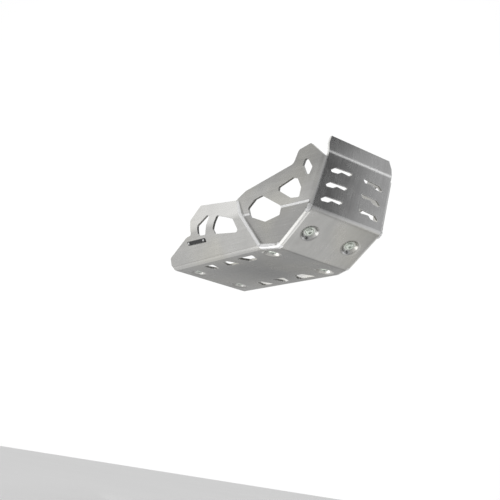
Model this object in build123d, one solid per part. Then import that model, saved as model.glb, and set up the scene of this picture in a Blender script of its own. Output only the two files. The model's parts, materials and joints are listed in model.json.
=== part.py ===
from build123d import *
import os
from math import atan2, cos, radians, sin, sqrt, tan

# Motorcycle skid plate: one folded aluminium blank with welded side seams and its mounting screws.
# Frame: +Z up, -Y forward, +X the rider's left. Millimetres. The sheet's outer faces are dimensioned.

# Sheet
SHEET = 4.0
BEND_INNER = 4.0

# Bottom, measured from the ramp fold to the rear edge, with its front corners clipped
BOTTOM_HALF = 84.0
BOTTOM_LENGTH = 328.0
CLIP_LENGTH = 36.0

# Ramp, upper front and lip, as lengths along the outer face and angles from level. Each inset is how
# far the face's edge lies inside the bottom's
RAMP_INSET = 11.0
RAMP_LENGTH = 88.0
RAMP_ANGLE = 36.5
RAMP_FOLD_INNER = 10.0
FRONT_LENGTH = 95.0
FRONT_ANGLE = 80.0
FRONT_INSET_LOW = 7.5
FRONT_INSET_HIGH = 14.0
NOSE_FOLD_INNER = 10.0
RELIEF_DEPTH = 3.0
LIP_LENGTH = 28.0
LIP_ANGLE = 101.0
LIP_FOLD_INNER = 14.0
LIP_INSET = 19.0
LIP_TOP_INSET = 25.0
LIP_CORNER_HEIGHT = 14.0

# Side tabs: the crease is level, above the nose, and flares outward to the rear. The ear is measured
# from the lip fold, as (distance behind it, height above it, corner radius)
CREASE_ABOVE_NOSE = 11.7
SIDE_FLARE = 5.4
TAB_LAP = 8.0
EAR_NOTCH = (3.2, -9.0, 0.0)
EAR_PEAK = (40.7, 20.0, 3.0)
EAR_REAR_TOP = (67.2, 14.0, 6.0)
EAR_REAR_FOOT = (73.7, -9.0, 9.0)
TAB_TOP_REAR = (100.0, 110.0, 3.0)
TAB_TAIL = (123.0, 96.0)

# Wings: the front edge lies outside the side tabs. The rear outline is measured from the rear edge,
# as (distance behind it, height, corner radius)
LAP_CLEARANCE = 0.3
WING_TOP_LEAN = 3.0
WING_CREASE_INNER = 40.0
WING_KNEE = 97.0
WING_FRONT_TOP = (116.0, 94.0, 3.0)
WING_REAR_TOP = (-84.0, 110.0, 4.0)
WING_SHOULDER = (-56.0, 85.0, 4.0)
WING_WAIST = (-69.0, 55.0, 4.0)
WING_STEP = (-51.0, 53.0, 8.0)
WING_TAIL = (11.0, 23.0, 3.0)
WING_HEEL = (7.0, 9.0, 3.0)

# Side windows as (distance behind, height above): the ear's from the lip fold, the wing's from below
# its knee, the leaf's from the rear edge, the others from the ramp fold
EAR_WINDOW = [(48, -6), (40, -7), (26, -24), (30, -36), (38, -34.5), (50.5, -16)]
FRONT_WINDOW = [(-18, 112), (-31, 108.5), (-44, 90.5), (-43.5, 74), (-23, 76), (12, 95), (12.5, 101.5)]
CREASE_WINDOW = [(52, 93.5), (-2, 66.5), (-4, 62), (-1, 51.5), (34, 45.5), (73, 59), (83, 76), (69, 90)]
WING_WINDOW = [(77, 77.5), (59, 73), (20, 61.5), (4, 40.5), (8, 36.5), (78, 44.5), (86, 54.5)]
LEAF_WINDOW = [(-117, 85), (-127, 81), (-122.5, 64.5), (-120, 48), (-99, 49.5), (-93, 54), (-89, 70)]
WINDOW_ROUND = 2.5

# Vent slots in the upper front: (outward from the inner end, up from the inner top corner)
VENT_OUTLINE = [(0, 0), (33, -1.8), (41.5, -7.8), (38.5, -10.3), (26, -9), (20, -5), (4.5, -6), (0.5, -3)]
VENT_ROUND = 1.0
VENT_ROWS = 3
VENT_TOP = 75.0
VENT_PITCH = 24.0
VENT_INNER_TOP = 12.0
VENT_SPREAD = 2.6

# Slots in the bottom: (front, rear, length of the short side, wide side outward)
BOTTOM_SLOTS = [(82.0, 132.0, 23.0, True), (151.0, 187.0, 16.0, False), (210.0, 244.0, 15.0, True)]
SLOT_OUTER_INSET = 17.0
SLOT_INNER_INSET = 36.5
SLOT_ROUND = 2.0

# Mounting screws and the pressed dimples that hold their heads
FRONT_SCREW_INSET = 30.0
FRONT_SCREW_BACK = 43.0
REAR_SCREW_INSET = 38.0
REAR_SCREW_FORWARD = 32.0
RAMP_SCREW_INSET = 43.0
RAMP_SCREW_UP = 44.5
SHANK = 8.0
SHANK_LENGTH = 25.0
GRIP_PAST_SHEET = 1.0
THREAD = 7.2
THREAD_CHAMFER = 0.8
HEAD_FLANGE = 17.5
HEAD_FLANGE_THICK = 1.4
HEAD_BASE = 14.0
HEAD_TOP = 8.0
HEAD_HEIGHT = 4.4
SOCKET_ACROSS = 5.0
SOCKET_DEPTH = 2.6
HOLE_CLEARANCE = 0.5
DIMPLE_MARGIN = 1.75
DIMPLE_SLOPE = 4.5
DIMPLE_DEPTH = 6.0
DIMPLE_ROUND = 1.5
DIMPLE_FLAT = 3.0

# Welds
CREASE_BEAD_WIDTH = 4.0
CREASE_BEAD_DEPTH = 1.6
CORNER_BEAD_HEIGHT = 12.0
SPOT_RADIUS = 4.5
SPOT_DEPTH = 4.7
SPOT_SINK = 3.3
SPOT_COUNT = 4
SPOT_START = -0.4
LAP_BEAD_PROUD = 0.3

# Blank badge on the right wing, its centre as (distance behind the rear edge, height)
BADGE_CENTRE = (-89.3, 39.5)
BADGE_LENGTH = 62.0
BADGE_WIDTH = 7.6
BADGE_LEAN = 5.6
BADGE_TILT = -1.8
BADGE_THICK = 1.2
BADGE_ROUND = 1.2
RIVET_INSET = 4.5
RIVET_SHANK = 2.4
RIVET_HEAD = 4.4
RIVET_HEAD_HEIGHT = 0.9
RIVET_HEAD_TAPER = 20.0
RIVET_CLEARANCE = 0.05

# Overlap where bent pieces are fused, and room for tools that trim oversize sheet
OVERLAP = 1.0
REACH = 260.0


def inset(points, distance):
    """Points of a line moved to its left by a distance, corner to corner."""
    pts = [Vector(*p) for p in points]
    sides = [(b - a).normalized() for a, b in zip(pts, pts[1:])]
    lefts = [Vector(-s.Y, s.X) for s in sides]
    result = [pts[0] + lefts[0] * distance]
    for p, a, b in zip(pts[1:], lefts, lefts[1:]):
        result.append(p + (a + b) * (distance / (1 + a.dot(b))))
    result.append(pts[-1] + lefts[-1] * distance)
    return [(p.X, p.Y) for p in result]


def bent_sheet(points, inner_radii):
    """Section of a bent sheet: its outer line is given, and the sheet lies to the left of it."""
    pts = [Vector(*p) for p in points]
    outer, inner = [], []
    for a, p, b, r in zip(pts, pts[1:], pts[2:], inner_radii):
        turns_left = (p - a).cross(b - p).Z > 0
        outer.append(r + SHEET if turns_left else r)
        inner.append(r if turns_left else r + SHEET)
    near = FilletPolyline(*points, radius=outer)
    far_points = inset(points, SHEET)
    far = FilletPolyline(*far_points, radius=inner)
    ends = [Line(points[0], far_points[0]), Line(points[-1], far_points[-1])]
    return make_face(near.edges() + far.edges() + ends)


def outline(points, rounding=0.0):
    """A closed polygon with rounded corners: a corner's own third value goes before the common radius."""
    face = make_face(Polyline(*[p[:2] for p in points], close=True))
    for p in points:
        radius = p[2] if len(p) > 2 else rounding
        if radius:
            face = fillet(face.vertices().sort_by_distance((p[0], p[1], 0))[0], radius)
    return face


def shifted(points, origin):
    """Outline points measured from an origin, with any corner radius kept."""
    return [(p[0] + origin[0], p[1] + origin[1], *p[2:]) for p in points]


def along_x(points, start, end, rounding=0.0):
    """Prism of a (Y, Z) outline between two X places."""
    return extrude(Plane.YZ.offset(start) * outline(points, rounding), end - start)


def along_y(points, start, end, rounding=0.0):
    """Prism of an (X, Z) outline between two Y places."""
    return extrude(Plane.XZ.offset(-start) * outline(points, rounding), start - end)


def along_z(points, start, end, rounding=0.0):
    """Prism of an (X, Y) outline between two heights."""
    return extrude(Plane.XY.offset(start) * outline(points, rounding), end - start)


def mirrored(shape):
    """The mirror image of a shape across the centre plane."""
    return mirror(shape, Plane.YZ)


def fold_run(inner_radius, angle):
    """Distance from a fold's corner to the start of its bend, on the outer face."""
    return (inner_radius + SHEET) * tan(radians(angle) / 2)


def slope(angle):
    """Unit vector that rises forward at an angle from level."""
    return Vector(0, -cos(radians(angle)), sin(radians(angle)))


# Half widths of the folded strip
ramp_half = BOTTOM_HALF - RAMP_INSET
front_half_low = BOTTOM_HALF - FRONT_INSET_LOW
front_half_high = BOTTOM_HALF - FRONT_INSET_HIGH
lip_half = BOTTOM_HALF - LIP_INSET
lip_top_half = BOTTOM_HALF - LIP_TOP_INSET

# Centre line of the folded strip
ramp_dir = slope(RAMP_ANGLE)
front_dir = slope(FRONT_ANGLE)
lip_dir = slope(LIP_ANGLE)
ramp_in = Vector(0, ramp_dir.Z, -ramp_dir.Y)
front_in = Vector(0, front_dir.Z, -front_dir.Y)
nose = ramp_dir * RAMP_LENGTH
lip_fold = nose + front_dir * FRONT_LENGTH
lip_top = lip_fold + lip_dir * LIP_LENGTH
lip_place = (lip_fold.Y, lip_fold.Z)
crease_height = nose.Z + CREASE_ABOVE_NOSE
rear_place = (BOTTOM_LENGTH, 0)

# Faces and folds of the left side tabs
front_low = nose + Vector(front_half_low, 0, 0)
front_edge = (lip_fold + Vector(front_half_high, 0, 0) - front_low).normalized()
crease_start = front_low + front_edge * ((crease_height - front_low.Z) / front_edge.Z)
crease_dir = Vector(sin(radians(SIDE_FLARE)), cos(radians(SIDE_FLARE)), 0)
ramp_foot = Vector(ramp_half, 0, 0)
upper_out = crease_dir.cross(front_edge).normalized()
lower_out = crease_dir.cross(crease_start - ramp_foot).normalized()
ramp_edge = lower_out.cross(ramp_in).normalized()
front_tab_angle = (front_in * -1).get_angle(upper_out)
ramp_tab_angle = (ramp_in * -1).get_angle(lower_out)
front_tab_run = fold_run(BEND_INNER, front_tab_angle)
ramp_tab_run = fold_run(BEND_INNER, ramp_tab_angle)
ramp_fold_run = fold_run(RAMP_FOLD_INNER, RAMP_ANGLE)
ramp_tab_start = ramp_dir * (ramp_fold_run + OVERLAP)
corner_half = ramp_half - ramp_tab_run
relief_half = ramp_half - RELIEF_DEPTH
nose_run = fold_run(NOSE_FOLD_INNER, FRONT_ANGLE - RAMP_ANGLE)
ramp_tab_end = ramp_dir * (RAMP_LENGTH - nose_run - OVERLAP)
ramp_tab_flat = ramp_in * (ramp_tab_run + OVERLAP)
nose_centre = nose + (ramp_in + front_in) * ((NOSE_FOLD_INNER + SHEET) / (1 + ramp_in.dot(front_in)))
front_tab_low = (nose + front_dir * nose_run).Z
tab_rear = WING_KNEE + TAB_LAP

# The wing's crease stands clear of the tabs' crease where they lap
tab_crease = crease_start.X + (tab_rear - crease_start.Y) * tan(radians(SIDE_FLARE))
wing_lean = atan2(tab_crease + SHEET - BOTTOM_HALF, crease_height)
half_bend = (wing_lean + radians(WING_TOP_LEAN)) / 2
wing_crease = tab_crease + LAP_CLEARANCE + (SHEET + WING_CREASE_INNER) / cos(half_bend) - WING_CREASE_INNER
wing_out = Vector(crease_height, 0, BOTTOM_HALF - wing_crease).normalized()
wing_bend = Vector(0, 0, -1).get_angle(wing_out)
wing_toe = BOTTOM_HALF - fold_run(BEND_INNER, wing_bend)
wing_edge = Vector(0, WING_KNEE - CLIP_LENGTH, crease_height) / crease_height

# Screw places on the outer faces, with their axes pointing into the part
dimple_floor = HEAD_FLANGE / 2 + DIMPLE_MARGIN
dimple_rim = dimple_floor + DIMPLE_SLOPE
dimple_edge = dimple_rim + (DIMPLE_ROUND + SHEET) * tan(atan2(DIMPLE_DEPTH, DIMPLE_SLOPE) / 2)
screw_places = []
for side in (1, -1):
    front_x = side * (BOTTOM_HALF - FRONT_SCREW_INSET)
    screw_places.append(Plane((front_x, FRONT_SCREW_BACK, 0)))
    rear_x = side * (BOTTOM_HALF - REAR_SCREW_INSET)
    screw_places.append(Plane((rear_x, BOTTOM_LENGTH - REAR_SCREW_FORWARD, 0)))
    on_ramp = ramp_dir * RAMP_SCREW_UP + Vector(side * (BOTTOM_HALF - RAMP_SCREW_INSET), 0, 0)
    screw_places.append(Plane(on_ramp, x_dir=(1, 0, 0), z_dir=ramp_in))


def spine():
    """Bottom, ramp, upper front and lip: one bent strip, trimmed to its front and plan outlines."""
    line = [lip_top, lip_fold, nose, Vector(0, 0, 0), Vector(0, BOTTOM_LENGTH, 0)]
    section = bent_sheet([(p.Y, p.Z) for p in line], [LIP_FOLD_INNER, NOSE_FOLD_INNER, RAMP_FOLD_INNER])
    strip = extrude(Plane.YZ * section, BOTTOM_HALF, both=True)

    def front_half(height):
        up = (height - nose.Z) / front_dir.Z / FRONT_LENGTH
        return front_half_low + (front_half_high - front_half_low) * up - front_tab_run + OVERLAP

    ear_foot = lip_fold.Z + EAR_NOTCH[1]
    left = [
        (corner_half, -SHEET),
        (corner_half, ramp_tab_start.Z),
        (corner_half + OVERLAP, ramp_tab_start.Z),
        (corner_half + OVERLAP, ramp_tab_end.Z),
        (relief_half, ramp_tab_end.Z),
        (relief_half, front_tab_low),
        (front_half(front_tab_low), front_tab_low),
        (front_half(ear_foot), ear_foot),
        (lip_half, ear_foot),
        (lip_half, lip_fold.Z + (LIP_LENGTH - LIP_CORNER_HEIGHT) * lip_dir.Z),
        (lip_top_half, lip_top.Z + SHEET),
    ]
    right = [(-x, z) for x, z in reversed(left)]
    front = strip & along_y(left + right, -REACH, 0)
    left = [(corner_half, 0), (wing_toe, CLIP_LENGTH), (wing_toe, BOTTOM_LENGTH)]
    right = [(-x, y) for x, y in reversed(left)]
    bottom = strip & along_z(left + right, -SHEET, 2 * SHEET)
    return front + bottom


def folded_tab(corner, fold, parent_in, face_out, run):
    """Endless left tab on a straight fold: a strip of the parent face, the bend and the tab's own face."""
    lead_dir = fold.cross(parent_in).normalized()
    tab_dir = fold.cross(face_out).normalized()
    place = Plane(origin=corner, x_dir=tab_dir, z_dir=fold)
    lead = place.to_local_coords(corner + lead_dir * (run + SHEET))
    section = bent_sheet([(lead.X, lead.Y), (0, 0), (REACH, 0)], [BEND_INNER])
    return extrude(place.offset(-REACH) * section, 2 * REACH)


def upper_tab():
    """Left side tab folded back from the upper front, above the crease, with the ear at its top."""
    ear = shifted([EAR_REAR_FOOT, EAR_REAR_TOP, EAR_PEAK, EAR_NOTCH], lip_place)
    front = crease_start.Y + SHEET
    side = [
        (-REACH, front_tab_low),
        (front, front_tab_low),
        (front, crease_height),
        (tab_rear, crease_height),
        TAB_TAIL,
        TAB_TOP_REAR,
        *ear,
        (-REACH, ear[-1][1]),
    ]
    return folded_tab(front_low, front_edge, front_in, upper_out, front_tab_run) & along_x(side, 0, REACH)


def lower_tab():
    """Left side tab folded up from the ramp, below the crease; its rear edge runs under the wing."""
    side = [
        ramp_tab_start - ramp_in * OVERLAP,
        ramp_tab_start + ramp_tab_flat,
        Vector(0, SHEET + OVERLAP, SHEET),
        Vector(0, CLIP_LENGTH + TAB_LAP, SHEET),
        Vector(0, tab_rear, crease_height),
        Vector(0, crease_start.Y + SHEET, crease_height),
        nose_centre - (ramp_in + front_in).normalized() * NOSE_FOLD_INNER,
        ramp_tab_end + ramp_tab_flat,
        ramp_tab_end - ramp_in * OVERLAP,
    ]
    tool = along_x([(p.Y, p.Z) for p in side], 0, REACH)
    return folded_tab(ramp_foot, ramp_edge, ramp_in, lower_out, ramp_tab_run) & tool


def wing_side():
    """Side outline of the wing, as a prism."""
    rear = shifted([WING_REAR_TOP, WING_SHOULDER, WING_WAIST, WING_STEP, WING_TAIL, WING_HEEL], rear_place)
    side = [
        (CLIP_LENGTH - SHEET * wing_edge.Y, -SHEET),
        (WING_KNEE, crease_height, WING_CREASE_INNER),
        WING_FRONT_TOP,
        *rear,
        (BOTTOM_LENGTH, SHEET),
        (BOTTOM_LENGTH, -SHEET),
    ]
    return along_x(side, 0, REACH)


def wing():
    """Left rear wing: folded up from the bottom and softly creased at the tabs' crease height."""
    top = crease_height + REACH / 2
    lean = (top - crease_height) * tan(radians(WING_TOP_LEAN))
    line = [
        (ramp_half - SHEET - BEND_INNER, 0),
        (BOTTOM_HALF, 0),
        (wing_crease, crease_height),
        (wing_crease - lean, top),
    ]
    sheet = extrude(Plane.XZ * bent_sheet(line, [BEND_INNER, WING_CREASE_INNER]), -2 * REACH)
    return sheet & wing_side()


def side_windows():
    """Tools for the left side's windows."""
    outlines = [
        shifted(EAR_WINDOW, lip_place),
        FRONT_WINDOW,
        CREASE_WINDOW,
        shifted(WING_WINDOW, (WING_KNEE, 0)),
        shifted(LEAF_WINDOW, rear_place),
    ]
    return [along_x(points, ramp_half / 2, REACH, WINDOW_ROUND) for points in outlines]


def vents():
    """Tools for the left column of vent slots, square to the upper front."""
    place = Plane(origin=nose, x_dir=(1, 0, 0), z_dir=front_in * -1)
    tools = []
    for row in range(VENT_ROWS):
        corner = (VENT_INNER_TOP + row * VENT_SPREAD, VENT_TOP - row * VENT_PITCH)
        slot = outline(shifted(VENT_OUTLINE, corner), VENT_ROUND)
        tools.append(extrude(place * slot, 2 * SHEET, both=True))
    return tools


def bottom_slots():
    """Tools for the left row of bottom slots, their wide sides facing outward and inward in turn."""
    outer = BOTTOM_HALF - SLOT_OUTER_INSET
    inner = BOTTOM_HALF - SLOT_INNER_INSET
    tools = []
    for front, rear, short, wide_outward in BOTTOM_SLOTS:
        middle = (front + rear) / 2
        wide_x, short_x = (outer, inner) if wide_outward else (inner, outer)
        corners = [
            (wide_x, front),
            (wide_x, rear),
            (short_x, middle + short / 2),
            (short_x, middle - short / 2),
        ]
        tools.append(along_z(corners, -SHEET, 2 * SHEET, SLOT_ROUND))
    return tools


def dimple(place):
    """Pressed cup for a screw head, with the disc of flat sheet that it replaces."""
    ring = dimple_edge + DIMPLE_FLAT
    line = [(0, DIMPLE_DEPTH), (dimple_floor, DIMPLE_DEPTH), (dimple_rim, 0), (ring, 0)]
    section = bent_sheet(line, [DIMPLE_ROUND, DIMPLE_ROUND])
    cup = revolve(Plane.XZ * section, Axis.Z)
    bore = Cylinder(SHANK / 2 + HOLE_CLEARANCE, 2 * REACH)
    disc = Cylinder(dimple_edge + DIMPLE_FLAT / 2, 2 * SHEET)
    return place * (cup - bore), place * disc


def screw():
    """Flanged button-head screw with a hex socket: its seat is the XY plane and its shank runs up, with a
    plain grip through the sheet and a plain round in place of the thread."""
    head = make_face(
        [
            *Polyline((0, 0), (HEAD_FLANGE / 2, 0), (HEAD_FLANGE / 2, -HEAD_FLANGE_THICK)).edges(),
            Line((HEAD_FLANGE / 2, -HEAD_FLANGE_THICK), (HEAD_BASE / 2, -HEAD_FLANGE_THICK)),
            TangentArc((HEAD_TOP / 2, -HEAD_HEIGHT), (HEAD_BASE / 2, -HEAD_FLANGE_THICK), tangent=(1, 0)),
            Line((HEAD_TOP / 2, -HEAD_HEIGHT), (0, -HEAD_HEIGHT)),
            Line((0, -HEAD_HEIGHT), (0, 0)),
        ]
    )
    socket = Pos(0, 0, -HEAD_HEIGHT) * RegularPolygon(SOCKET_ACROSS / sqrt(3), 6)
    grip = extrude(Circle(SHANK / 2), SHEET + GRIP_PAST_SHEET)
    thread = extrude(Circle(THREAD / 2), SHANK_LENGTH)
    thread = chamfer(thread.edges().group_by(Axis.Z)[-1], THREAD_CHAMFER)
    return revolve(Plane.XZ * head, Axis.Z) + grip + thread - extrude(socket, SOCKET_DEPTH)


def crease_weld():
    """Ground bead that joins the left side tabs along their crease, with the groove that it fills."""
    place = Plane(origin=crease_start, x_dir=upper_out, z_dir=crease_dir)
    down = place.to_local_coords(crease_start + lower_out.cross(crease_dir) * -1)
    down = Vector(down.X, down.Y) * (CREASE_BEAD_WIDTH / 2)
    up = Vector(0, -CREASE_BEAD_WIDTH / 2)
    root = Vector(-CREASE_BEAD_DEPTH, 0)
    crown = (up + down) / 4
    bead = make_face([ThreePointArc(up, crown, down), Line(down, root), Line(root, up)])
    groove = make_face(Polyline(up, Vector(SHEET, 0), down, root, close=True))
    start = SHEET
    length = (WING_KNEE + TAB_LAP / 2 - crease_start.Y) / crease_dir.Y - start
    return [extrude(place.offset(start) * face, length) for face in (bead, groove)]


def tab_face(y, z):
    """Point on the outer face of the left lower tab."""
    return Vector(ramp_half - (lower_out.Y * y + lower_out.Z * z) / lower_out.X, y, z)


def corner_weld():
    """Ground seam that carries the ramp's side bend round the clipped bottom corner to the wing's edge."""
    radius = BEND_INNER + SHEET
    inward = Vector(-1, 0, 0)

    def seam(toe, crown, head, up):
        toe_root = toe + inward * OVERLAP + up * (SHEET / 2)
        head_root = head + inward * (SHEET / 2)
        sides = [Line(head, head_root), Line(head_root, toe_root), Line(toe_root, toe)]
        return make_face([ThreePointArc(toe, crown, head), *sides])

    def bend(at, up):
        corner = tab_face(at.Y, at.Z)
        rise = (tab_face(at.Y + up.Y, at.Z + up.Z) - corner).normalized()
        half_angle = radians(inward.get_angle(rise)) / 2
        bisector = (inward + rise).normalized()
        crown = corner + bisector * (radius / sin(half_angle) - radius)
        run = radius / tan(half_angle)
        return seam(corner + inward * run, crown, corner + rise * run, up)

    up = Vector(0, 0, 1)
    fold_up = (ramp_in + up).normalized()
    fold_centre = Vector(0, ramp_fold_run, RAMP_FOLD_INNER + SHEET)
    stations = [
        (ramp_tab_start, ramp_in),
        (fold_centre - ramp_in * fold_centre.Z, ramp_in),
        (fold_centre - fold_up * fold_centre.Z, fold_up),
        (fold_centre - up * fold_centre.Z, up),
    ]
    half_turn = radians(wing_bend) / 2
    toe = Vector(wing_toe, CLIP_LENGTH, 0)
    crown = toe + wing_edge * (radius * (1 - cos(half_turn))) - inward * (radius * sin(half_turn))
    head = toe + wing_edge * CORNER_BEAD_HEIGHT
    last = seam(toe, crown, tab_face(head.Y, head.Z), wing_edge)
    return loft([bend(*station) for station in stations] + [last], ruled=True)


def nose_weld():
    """Row of weld spots round the nose fold that closes the corner relief, flush inside."""
    spots = []
    for spot in range(SPOT_COUNT):
        share = SPOT_START + (1 - SPOT_START) * (spot + 0.5) / SPOT_COUNT
        out = (ramp_in * (1 - share) + front_in * share).normalized() * -1
        at = nose_centre + out * (NOSE_FOLD_INNER + SHEET - SPOT_DEPTH)
        spots.append(Pos(tab_face(at.Y, at.Z) - Vector(SPOT_SINK, 0, 0)) * Sphere(SPOT_RADIUS))
    inner = nose + (ramp_in + front_in) * (SHEET / (1 + ramp_in.dot(front_in)))
    below = inner - ramp_dir * RAMP_LENGTH
    above = inner + front_dir * FRONT_LENGTH
    inside = [(below.Y, below.Z), (inner.Y, inner.Z, NOSE_FOLD_INNER), (above.Y, above.Z)]
    return sum(spots[1:], start=spots[0]) - along_x(inside, 0, REACH)


def lap_weld():
    """Ground bead that rounds the left wing's front edge over to the side tabs under it."""

    def edge_inside(y, z):
        below = BOTTOM_HALF - z * wing_out.Z / wing_out.X
        above = wing_crease - (z - crease_height) * tan(radians(WING_TOP_LEAN))
        return Vector((below if z < crease_height else above) - SHEET, y, z)

    foot = edge_inside(CLIP_LENGTH + wing_edge.Y * SHEET, SHEET)
    knee = edge_inside(WING_KNEE, crease_height)
    head = edge_inside(WING_FRONT_TOP[0], WING_FRONT_TOP[1] - WING_FRONT_TOP[2])
    place = Plane(origin=foot, x_dir=knee - foot, z_dir=(knee - foot).cross(head - knee))
    stops = [place.to_local_coords(stop) for stop in (foot, knee, head)]
    line = FilletPolyline(*[(stop.X, stop.Y) for stop in stops], radius=WING_CREASE_INNER)
    bead = place * sweep(Plane.YZ * Circle(SHEET + LAP_BEAD_PROUD), path=line)
    behind_faces = [
        extrude(Plane(origin=crease_start, x_dir=crease_dir, z_dir=out) * Rectangle(4 * REACH, REACH), -REACH)
        for out in (upper_out, lower_out)
    ]
    return bead - wing_side() - (behind_faces[0] & behind_faces[1])


def badge():
    """Blank strip and its rivets on the right wing's lower face, with the rivet holes."""
    y = BOTTOM_LENGTH + BADGE_CENTRE[0]
    z = BADGE_CENTRE[1]
    on_wing = Vector(BOTTOM_HALF - z * wing_out.Z / wing_out.X, y, z)
    out = Vector(-wing_out.X, 0, wing_out.Z)
    place = Plane(origin=(-on_wing.X, y, z), x_dir=(0, -1, 0), z_dir=out) * Rot(0, 0, BADGE_TILT)
    half = BADGE_LENGTH / 2
    lean = BADGE_LEAN / 2
    corners = [
        (lean - half, -BADGE_WIDTH / 2),
        (lean + half, -BADGE_WIDTH / 2),
        (half - lean, BADGE_WIDTH / 2),
        (-half - lean, BADGE_WIDTH / 2),
    ]
    strip = extrude(outline(corners, BADGE_ROUND), BADGE_THICK)
    ends = Locations((RIVET_INSET - half, 0), (half - RIVET_INSET, 0)).locations
    depth = SHEET + BADGE_THICK
    shank = Pos(0, 0, -SHEET) * extrude(Circle(RIVET_SHANK / 2), depth)
    head = Pos(0, 0, BADGE_THICK) * extrude(Circle(RIVET_HEAD / 2), RIVET_HEAD_HEIGHT, taper=RIVET_HEAD_TAPER)
    bore = Circle(RIVET_SHANK / 2 + RIVET_CLEARANCE)
    hole = Pos(0, 0, -2 * SHEET) * extrude(bore, depth + 2 * SHEET)
    holes = [place * end * hole for end in ends]
    rivets = [place * end * (shank + head) for end in ends]
    return place * strip - holes, rivets, holes


plate = spine()
for tab in (upper_tab(), lower_tab(), wing()):
    plate += [tab, mirrored(tab)]
cuts = side_windows() + vents() + bottom_slots()
plate -= cuts + [mirrored(cut) for cut in cuts]
dimples = [dimple(place) for place in screw_places]
plate -= [disc for cup, disc in dimples]
plate += [cup for cup, disc in dimples]

crease_bead, crease_groove = crease_weld()
crease_bead -= along_x(CREASE_WINDOW, 0, REACH, WINDOW_ROUND)
badge_strip, badge_rivets, rivet_holes = badge()
plate -= [crease_groove, mirrored(crease_groove)] + rivet_holes
corner_seam = corner_weld()
left_welds = {
    "crease_weld": crease_bead,
    "corner_weld": corner_seam - plate,
    "nose_weld": nose_weld() - plate - crease_bead,
    "lap_weld": lap_weld() - corner_seam,
}

nodes = {"guard_plate": plate}
for name, weld in left_welds.items():
    nodes[name + "_left"] = weld
    nodes[name + "_right"] = mirrored(weld)
seats = [place.offset(DIMPLE_DEPTH) for place in screw_places]
nodes["mount_screws"] = Compound([seat * screw() for seat in seats])
nodes["badge_plate"] = badge_strip
nodes["badge_rivets"] = Compound(badge_rivets)

# The origin is under the middle of the plate
box = plate.bounding_box()
to_origin = Pos(0, -box.center().Y, -box.min.Z)
os.makedirs("parts", exist_ok=True)
for name, shape in nodes.items():
    export_step(to_origin * shape, f"parts/{name}.step")
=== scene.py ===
import json
from math import cos, radians, sin

import bpy
from mathutils import Matrix, Vector

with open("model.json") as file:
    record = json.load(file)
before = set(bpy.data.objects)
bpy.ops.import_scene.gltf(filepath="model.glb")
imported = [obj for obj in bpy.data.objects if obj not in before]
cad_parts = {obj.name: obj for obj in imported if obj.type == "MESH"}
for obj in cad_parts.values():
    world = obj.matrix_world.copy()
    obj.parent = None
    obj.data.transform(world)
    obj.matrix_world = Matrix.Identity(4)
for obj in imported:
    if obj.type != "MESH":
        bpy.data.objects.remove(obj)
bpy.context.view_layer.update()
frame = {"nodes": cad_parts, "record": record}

# Camera, solved from the photograph: angles in degrees, place and near limit in metres, lens in millimetres
VIEW_AZIMUTH = -31.25
VIEW_ELEVATION = -15.26
VIEW_ROLL = 9.44
CAMERA_PLACE = (-0.7446, -1.1504, -0.3458)
CLIP_START = 0.02
LENS = 58.52
SENSOR = 36.0

# Stage: the photograph looks up at the underside, so the floor lies below the camera
FLOOR_HEIGHT = -0.42
FLOOR_SIZE = 8.0
FLOOR_CLOUDS = 3.0
FLOOR_GREYS = (0.74, 0.78)
FLOOR_ROUGHNESS = 0.9

# Surround as smooth patches: direction, the angles where a patch is full and gone, and its share of light
SURROUND_LEVEL = 0.84
SURROUND_PATCHES = [
    ((0.50, 0.82, 0.26), 16, 40, 0.18),
    ((-0.28, 0.88, 0.38), 8, 24, 0.55),
    ((0.44, -0.80, 0.42), 22, 38, -0.80),
]

# Softboxes: place, the point they face, size and power in watts
SOFTBOXES = {
    "front_left": ((0.335, -0.45, 0.12), (0.0, -0.20, 0.10), (0.27, 0.79), 0.45),
    "front_strip": ((0.36, -0.62, 0.36), (0.0, -0.20, 0.15), (0.70, 0.12), 0.4),
    "low_right": ((-0.29, 0.06, -0.37), (-0.10, 0.0, 0.03), (0.54, 0.74), 1.2),
    "bounce": ((0.11, -0.17, -0.40), (0.11, -0.17, 0.05), (0.54, 0.54), 0.34),
}

# Smooth steps on the sheet by the way it faces: the part of its normal where a step starts and is done
FACES_SIDEWAYS = (0.55, 0.85)
BEND_LEAVES_BOTTOM = (0.04, 0.16)
BEND_REACHES_SIDE = (0.955, 0.90)
BEND_FACES_DOWN = (-0.18, -0.35)
LIES_FLAT_UNDERNEATH = (-0.95, -0.985)
LEAVES_FRONT = (-0.95, -0.75)

# Smooth steps on the sheet by place, in metres: out from the middle plane, then up from the bottom
OUTSIDE_DIMPLES = (0.063, 0.067)
INSIDE_SIDES = (0.069, 0.066)
UNDERSIDE_MIDDLE = (0.03, 0.085)
ABOVE_CREASE = (0.063, 0.067)
ABOVE_CREASE_FADE = (0.095, 0.070)
TAB_TOP = (0.085, 0.140)

# Front edge of the wings on the sides, as (slope behind per height, place at the bottom) of its two runs
WING_EDGE = [(0.953, -0.0897), (0.633, -0.0692)]
WING_EDGE_BLUR = 0.001
WING_LENGTH = (-0.06, 0.20)

# Painted dark reflection that dulls the underside: its middle and how far it reaches, and what is left of it
# near the sides
DARK_REFLECTION_PLACE = (0.01, 0.03, 0.0)
DARK_REFLECTION_REACH = (0.0, 0.14)
DARK_REFLECTION_SPREAD = (1.0, 0.35)

# Tone of the sheet, and what each place adds to it as painted light: sheen on the wing and above the crease,
# highlights on bends, edges and cuts, shade on the tab tops and a dark reflection under the middle; pairs go
# along the wing and out from the middle of the dark reflection
SHEET_TONE = 0.41
WING_PAINTED_SHEEN = (0.14, 0.055)
BEND_PAINTED_HIGHLIGHT = 0.30
DARK_REFLECTION_TONES = (-0.21, -0.11)
ABOVE_CREASE_PAINTED_SHEEN = 0.06
TAB_TOP_PAINTED_SHADE = -0.09
EDGE_PAINTED_HIGHLIGHT = 0.20
CUT_PAINTED_HIGHLIGHT = 0.35

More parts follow.
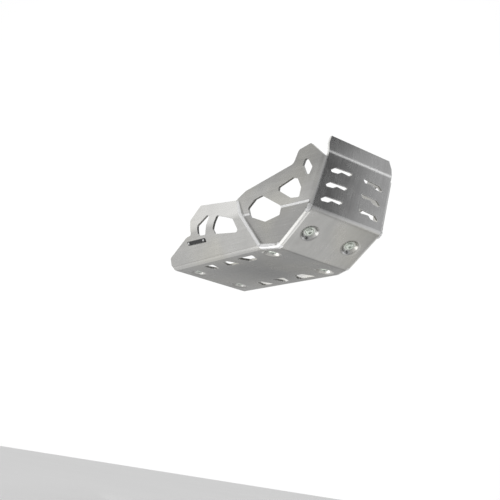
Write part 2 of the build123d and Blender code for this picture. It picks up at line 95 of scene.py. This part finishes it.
# Patterns of the sheet: scales, across and along for drawn-out ones, and how far each one moves the tone
STREAK_SCALES = (620, 16)
STREAK_SHARE = 0.07
BAND_SCALES = (150, 9)
BAND_SHARE = 0.06
MOTTLE_SCALE = 34.0
MOTTLE_NOISE = {"detail": 5.0, "roughness": 0.62}
MOTTLE_SHARE = 0.12
PATCH_SCALE = 9.0
PATCH_SHARE = 0.10

# Warm stains of the sheet: the step of the patches, how strong they are at its ends, and how warm
STAIN_STEP = (0.42, 0.66)
STAIN_SHARES = (0.4, 1.0)
STAIN_WARMTH = 0.085

# Roughness of the sheet, what its streaks and mottling add to it, and its relief
SHEET_ROUGHNESS = 0.17
STREAK_ROUGHNESS = 0.06
MOTTLE_ROUGHNESS = 0.12
SHEET_EDGE = 0.0009
SHEET_BUMP = (0.10, 0.0005)

# Weld metals by slot: the two greys that they mix, their roughness and the strength of their ripple
WELD_METALS = {
    "ground_weld": (0.74, 0.88, 0.32, 0.15),
    "raw_weld": (0.50, 0.74, 0.34, 0.5),
    "rivet": (0.60, 0.74, 0.25, 0.1),
}

# Weld metal: its brushing and spots, what worn edges add, its spread of roughness and its relief
WELD_BRUSHING = (700, 160, 700)
WELD_SPOTS = 260.0
WELD_DETAIL = 3.0
WELD_EDGE_TONE = 0.3
WELD_SMOOTHER = 0.06
WELD_ROUGHER = 0.08
WELD_EDGE = 0.0006
WELD_RIPPLE = 0.0006

# Zinc plating: its clouds, the two colours that they mix, its rubbed rims and its relief
ZINC_CLOUDS = 220.0
ZINC_DETAIL = 3.0
ZINC_STEP = (0.35, 0.65)
ZINC_DARK = (0.55, 0.59, 0.54, 1)
ZINC_LIGHT = (0.69, 0.73, 0.67, 1)
ZINC_RIM = 0.80
ZINC_ROUGHNESS = (0.22, 0.36)
ZINC_EDGE = 0.0005
ZINC_BUMP = (0.1, 0.0003)

# Black paint: its speckle, the two colours that it mixes, its worn rim, its gloss and its relief
PAINT_SPECKLE = 1500.0
PAINT_DARK = (0.010, 0.010, 0.011, 1)
PAINT_LIGHT = (0.030, 0.030, 0.031, 1)
PAINT_RIM = 0.30
PAINT_ROUGHNESS = (0.38, 0.52)
PAINT_SPECULAR = 0.25
PAINT_EDGE = 0.0008
PAINT_BUMP = (0.15, 0.0002)

# Middle of a noise's range, and how edges are found: rays, and the cosines where one starts and is done
NOISE_RANGE = (0.3, 0.7)
EDGE_SAMPLES = 6
EDGE_COSINES = (0.985, 0.90)

# Black, and the frame's own directions
BLACK = (0.0, 0.0, 0.0, 1.0)
SIDEWAYS = (1, 0, 0)
BACKWARD = (0, 1, 0)
UPWARD = (0, 0, 1)


class Graph:
    """A node graph, built one node at a time."""

    def __init__(self, tree):
        self.nodes = tree.nodes
        self.links = tree.links

    def put(self, socket, value):
        """Links a socket to an input, or sets the input to a value."""
        if isinstance(value, bpy.types.NodeSocket):
            self.links.new(value, socket)
        else:
            socket.default_value = value

    def add(self, kind, settings=None, **inputs):
        """A new node with its settings, and its inputs set to values or linked to sockets."""
        node = self.nodes.new(kind)
        for key, value in (settings or {}).items():
            setattr(node, key, value)
        for key, value in inputs.items():
            self.put(node.inputs[key.replace("_", " ")], value)
        return node

    def math(self, operation, *values):
        """A number worked out from numbers."""
        node = self.add("ShaderNodeMath", {"operation": operation})
        for socket, value in zip(node.inputs, values):
            self.put(socket, value)
        return node.outputs[0]

    def product(self, first, *others):
        """All masks multiplied."""
        for other in others:
            first = self.math("MULTIPLY", first, other)
        return first

    def lift(self, level, mask, amount):
        """Adds an amount to a level where a mask is on."""
        return self.math("MULTIPLY_ADD", mask, amount, level)

    def vary(self, level, pattern, share):
        """Moves a level up and down with a pattern whose middle is at a half."""
        return self.lift(level, self.math("SUBTRACT", pattern, 0.5), share)

    def vector_math(self, operation, vector, other):
        """A number worked out from two vectors."""
        node = self.add("ShaderNodeVectorMath", {"operation": operation})
        self.put(node.inputs[0], vector)
        self.put(node.inputs[1], other)
        return node.outputs["Value"]

    def dot(self, vector, other):
        """The part of a vector along another one."""
        return self.vector_math("DOT_PRODUCT", vector, other)

    def ramp(self, value, low, high, to_low=0.0, to_high=1.0):
        """A smooth step of a value, from one level to another."""
        node = self.add("ShaderNodeMapRange", {"interpolation_type": "SMOOTHSTEP"}, Value=value)
        for key, number in (("From Min", low), ("From Max", high), ("To Min", to_low), ("To Max", to_high)):
            node.inputs[key].default_value = number
        return node.outputs["Result"]


class Surface(Graph):
    """The node graph of a new material."""

    def __init__(self, name):
        self.material = bpy.data.materials.new(name)
        self.material.use_nodes = True
        super().__init__(self.material.node_tree)
        self.shader = self.nodes["Principled BSDF"]
        self.place = self.add("ShaderNodeTexCoord").outputs["Object"]
        self.normal = self.add("ShaderNodeNewGeometry").outputs["Normal"]

    def finish(self, **inputs):
        """Sets or links inputs of the shader, and gives the material."""
        for key, value in inputs.items():
            self.put(self.shader.inputs[key.replace("_", " ")], value)
        return self.material

    def noise(self, scale, stretch=(1, 1, 1), detail=2.0, roughness=0.5):
        """Noise in the object's own metres."""
        scaled = self.add("ShaderNodeMapping", Vector=self.place, Scale=stretch).outputs[0]
        kind = "ShaderNodeTexNoise"
        return self.add(kind, Vector=scaled, Scale=scale, Detail=detail, Roughness=roughness).outputs["Fac"]

    def mix(self, kind, first_input, output, *values):
        """Mix of two values of a kind by a factor, which comes first."""
        node = self.add("ShaderNodeMix", {"data_type": kind})
        sockets = node.inputs[:1] + node.inputs[first_input:first_input + 2]
        for socket, value in zip(sockets, values):
            self.put(socket, value)
        return node.outputs[output]

    def blend(self, factor, a, b):
        """Mix of two numbers."""
        return self.mix("FLOAT", 2, 0, factor, a, b)

    def colour(self, factor, a, b):
        """Mix of two colours."""
        return self.mix("RGBA", 6, 2, factor, a, b)

    def edges(self, radius):
        """The normal rounded over sharp edges, and a mask of those edges."""
        rounded = self.add("ShaderNodeBevel", {"samples": EDGE_SAMPLES}, Radius=radius).outputs[0]
        return rounded, self.ramp(self.dot(rounded, self.normal), *EDGE_COSINES)

    def bump(self, height, strength, distance, normal):
        """The normal after a bump by a height."""
        node = self.add("ShaderNodeBump", Height=height, Strength=strength, Distance=distance, Normal=normal)
        return node.outputs["Normal"]


def grey(value, warm=0.0):
    """Grey of a value, with some of its blue and a little of its green taken off where it is warm."""
    return (value, value * (1 - warm / 5), value * (1 - warm), 1.0)


def sheet_masks(g):
    """Masks of places on the sheet, by the way it faces and by place."""
    side = g.math("ABSOLUTE", g.dot(g.normal, SIDEWAYS))
    facing_up = g.dot(g.normal, UPWARD)
    outward = g.math("ABSOLUTE", g.dot(g.place, SIDEWAYS))
    height = g.dot(g.place, UPWARD)
    on_side = g.ramp(side, *FACES_SIDEWAYS)
    behind_edge = [
        g.ramp(g.dot(g.place, (0, 1, -slope)), start - WING_EDGE_BLUR, start + WING_EDGE_BLUR)
        for slope, start in WING_EDGE
    ]
    wing = g.product(g.math("MAXIMUM", *behind_edge), on_side)
    tab = g.math("SUBTRACT", on_side, wing)
    around_bend = g.product(g.ramp(side, *BEND_LEAVES_BOTTOM), g.ramp(side, *BEND_REACHES_SIDE))
    outer_bend = g.product(g.ramp(facing_up, *BEND_FACES_DOWN), g.ramp(outward, *OUTSIDE_DIMPLES))
    underside = g.ramp(facing_up, *LIES_FLAT_UNDERNEATH)
    above_crease = g.product(g.ramp(height, *ABOVE_CREASE), g.ramp(height, *ABOVE_CREASE_FADE))
    # Several of these masks carry painted light: highlights on bends and cuts, a dark reflection under the
    # middle, sheen above the crease and shade on the tab tops
    return {
        "side": on_side,
        "wing": wing,
        "bend": g.product(around_bend, outer_bend),
        "cut": g.product(on_side, g.ramp(outward, *INSIDE_SIDES)),
        "dark_reflection": g.product(underside, g.ramp(outward, *UNDERSIDE_MIDDLE, *DARK_REFLECTION_SPREAD)),
        "above_crease": g.product(tab, above_crease),
        "tab_top": g.product(tab, g.ramp(height, *TAB_TOP)),
    }


def drawn_out(g, on_side, scales):
    """Noise that runs along the strip, and on the sides along their length."""
    across, along = scales
    return g.blend(on_side, g.noise(1.0, (across, along, along)), g.noise(1.0, (along, along, across)))


def sheet_material():
    """Satin rolled aluminium: drawn-out streaks and mottling, with painted highlights on bends, edges and
    cuts, a painted sheen on the wing and above the crease, painted shade on the tab tops and a painted dark
    reflection on the underside.
    """
    g = Surface("sheet")
    on = sheet_masks(g)
    streaks = drawn_out(g, on["side"], STREAK_SCALES)
    bands = drawn_out(g, on["side"], BAND_SCALES)
    mottle = g.noise(MOTTLE_SCALE, **MOTTLE_NOISE)
    patches = g.noise(PATCH_SCALE)
    rounded, edge = g.edges(SHEET_EDGE)
    wing_sheen = g.ramp(g.dot(g.place, BACKWARD), *WING_LENGTH, *WING_PAINTED_SHEEN)
    dark_reflection_tone = g.ramp(g.vector_math("DISTANCE", g.place, DARK_REFLECTION_PLACE), *DARK_REFLECTION_REACH, *DARK_REFLECTION_TONES)

    tone = g.vary(SHEET_TONE, streaks, STREAK_SHARE)
    tone = g.vary(tone, bands, BAND_SHARE)
    tone = g.vary(tone, mottle, MOTTLE_SHARE)
    tone = g.vary(tone, patches, PATCH_SHARE)
    # The wing gets a painted sheen, strongest towards its front
    tone = g.lift(tone, on["wing"], wing_sheen)
    # The bends get a painted highlight
    tone = g.lift(tone, on["bend"], BEND_PAINTED_HIGHLIGHT)
    # The middle of the underside is darkened: a painted dark reflection
    tone = g.lift(tone, on["dark_reflection"], dark_reflection_tone)
    # The tabs just above the crease get a painted sheen
    tone = g.lift(tone, on["above_crease"], ABOVE_CREASE_PAINTED_SHEEN)
    # The tops of the tabs get painted shade
    tone = g.lift(tone, on["tab_top"], TAB_TOP_PAINTED_SHADE)
    # Sharp edges of the sheet get a painted highlight
    tone = g.lift(tone, edge, EDGE_PAINTED_HIGHLIGHT)
    # The cut edges of the sheet get a painted highlight
    tone = g.lift(tone, on["cut"], CUT_PAINTED_HIGHLIGHT)

    off_front = g.ramp(g.dot(g.normal, BACKWARD), *LEAVES_FRONT)
    stain = g.product(off_front, g.ramp(patches, *STAIN_STEP, *STAIN_SHARES))
    metal = g.colour(stain, grey(1.0), grey(1.0, STAIN_WARMTH))
    roughness = g.lift(SHEET_ROUGHNESS, streaks, STREAK_ROUGHNESS)
    return g.finish(
        Base_Color=g.colour(tone, BLACK, metal),
        Metallic=1.0,
        Roughness=g.lift(roughness, mottle, MOTTLE_ROUGHNESS),
        Normal=g.bump(mottle, *SHEET_BUMP, rounded),
    )


def weld_material(name, low, high, rough, ripple):
    """Bright aluminium between two greys: brushed where it was ground, rippled where it was left as laid."""
    g = Surface(name)
    lines = g.noise(1.0, WELD_BRUSHING, WELD_DETAIL)
    spots = g.noise(WELD_SPOTS, detail=WELD_DETAIL)
    tone = g.blend(0.5, lines, spots)
    rounded, edge = g.edges(WELD_EDGE)
    worn = g.lift(g.ramp(tone, *NOISE_RANGE), edge, WELD_EDGE_TONE)
    return g.finish(
        Base_Color=g.colour(worn, grey(low), grey(high)),
        Metallic=1.0,
        Roughness=g.ramp(tone, *NOISE_RANGE, rough - WELD_SMOOTHER, rough + WELD_ROUGHER),
        Normal=g.bump(tone, ripple, WELD_RIPPLE, rounded),
    )


def screw_material():
    """Zinc plating: a faint green cast, cloudy, with rubbed rims."""
    g = Surface("zinc_screw")
    cloud = g.noise(ZINC_CLOUDS, detail=ZINC_DETAIL)
    rounded, edge = g.edges(ZINC_EDGE)
    plated = g.colour(g.ramp(cloud, *ZINC_STEP), ZINC_DARK, ZINC_LIGHT)
    return g.finish(
        Base_Color=g.colour(edge, plated, grey(ZINC_RIM)),
        Metallic=1.0,
        Roughness=g.ramp(cloud, *NOISE_RANGE, *ZINC_ROUGHNESS),
        Normal=g.bump(cloud, *ZINC_BUMP, rounded),
    )


def badge_material():
    """Satin black paint with fine speckle, worn to grey along its rim."""
    g = Surface("badge")
    speck = g.noise(PAINT_SPECKLE)
    rounded, edge = g.edges(PAINT_EDGE)
    paint = g.colour(speck, PAINT_DARK, PAINT_LIGHT)
    return g.finish(
        Base_Color=g.colour(edge, paint, grey(PAINT_RIM)),
        Specular_IOR_Level=PAINT_SPECULAR,
        Roughness=g.ramp(speck, *NOISE_RANGE, *PAINT_ROUGHNESS),
        Normal=g.bump(speck, *PAINT_BUMP, rounded),
    )


def floor_material():
    """Pale matt floor, faintly uneven in tone."""
    g = Surface("floor")
    low, high = FLOOR_GREYS
    clouds = g.colour(g.noise(FLOOR_CLOUDS), grey(low), grey(high))
    return g.finish(Base_Color=clouds, Roughness=FLOOR_ROUGHNESS)


def surround():
    """Studio surround: an even grey with lighter and darker patches that fade into it."""
    world = bpy.data.worlds.new("studio")
    world.use_nodes = True
    bpy.context.scene.world = world
    g = Graph(world.node_tree)
    direction = g.add("ShaderNodeTexCoord").outputs["Generated"]
    level = SURROUND_LEVEL
    for towards, full, gone, share in SURROUND_PATCHES:
        nearness = g.dot(direction, Vector(towards).normalized())
        patch = g.ramp(nearness, cos(radians(gone)), cos(radians(full)), 0.0, share)
        level = g.math("ADD", patch, level)
    background = g.nodes["Background"]
    g.put(background.inputs["Color"], (1, 1, 1, 1))
    g.put(background.inputs["Strength"], level)


def softbox(name, place, target, size, power):
    """Rectangular area lamp that faces a point and isn't seen itself."""
    lamp = bpy.data.lights.new(name, "AREA")
    lamp.shape = "RECTANGLE"
    lamp.size, lamp.size_y = size
    lamp.energy = power
    holder = bpy.data.objects.new(name, lamp)
    bpy.context.scene.collection.objects.link(holder)
    holder.location = place
    holder.rotation_euler = (Vector(target) - Vector(place)).to_track_quat("-Z", "Y").to_euler()
    holder.visible_camera = False


def camera():
    """Camera at the photograph's place, turned by azimuth and elevation and then rolled."""
    azimuth = radians(VIEW_AZIMUTH)
    elevation = radians(VIEW_ELEVATION)
    roll = radians(VIEW_ROLL)
    back = Vector((sin(azimuth) * cos(elevation), -cos(azimuth) * cos(elevation), sin(elevation)))
    level = Vector(UPWARD).cross(back).normalized()
    upright = back.cross(level)
    right = level * cos(roll) + upright * sin(roll)
    up = upright * cos(roll) - level * sin(roll)
    turn = Matrix((right, up, back)).transposed().to_4x4()
    data = bpy.data.cameras.new("camera")
    data.lens = LENS
    data.sensor_width = SENSOR
    data.clip_start = CLIP_START
    made = bpy.data.objects.new("camera", data)
    made.matrix_world = Matrix.Translation(CAMERA_PLACE) @ turn
    bpy.context.scene.collection.objects.link(made)
    bpy.context.scene.camera = made


# Materials by slot, in place of the frame's own
materials = {"sheet": sheet_material(), "zinc_screw": screw_material(), "badge": badge_material()}
for slot, numbers in WELD_METALS.items():
    materials[slot] = weld_material(slot, *numbers)
for subpart in frame["record"]["subparts"]:
    node = frame["nodes"][subpart["node"]]
    node.data.materials.clear()
    node.data.materials.append(materials[subpart["material_slot"]])

# Floor, surround, lamps and camera
bpy.ops.mesh.primitive_plane_add(size=FLOOR_SIZE, location=(0, 0, FLOOR_HEIGHT))
floor = bpy.context.object
floor.name = "floor"
floor.data.materials.append(floor_material())
surround()
for name, settings in SOFTBOXES.items():
    softbox(name, *settings)
camera()
bpy.context.scene.view_settings.view_transform = "Standard"
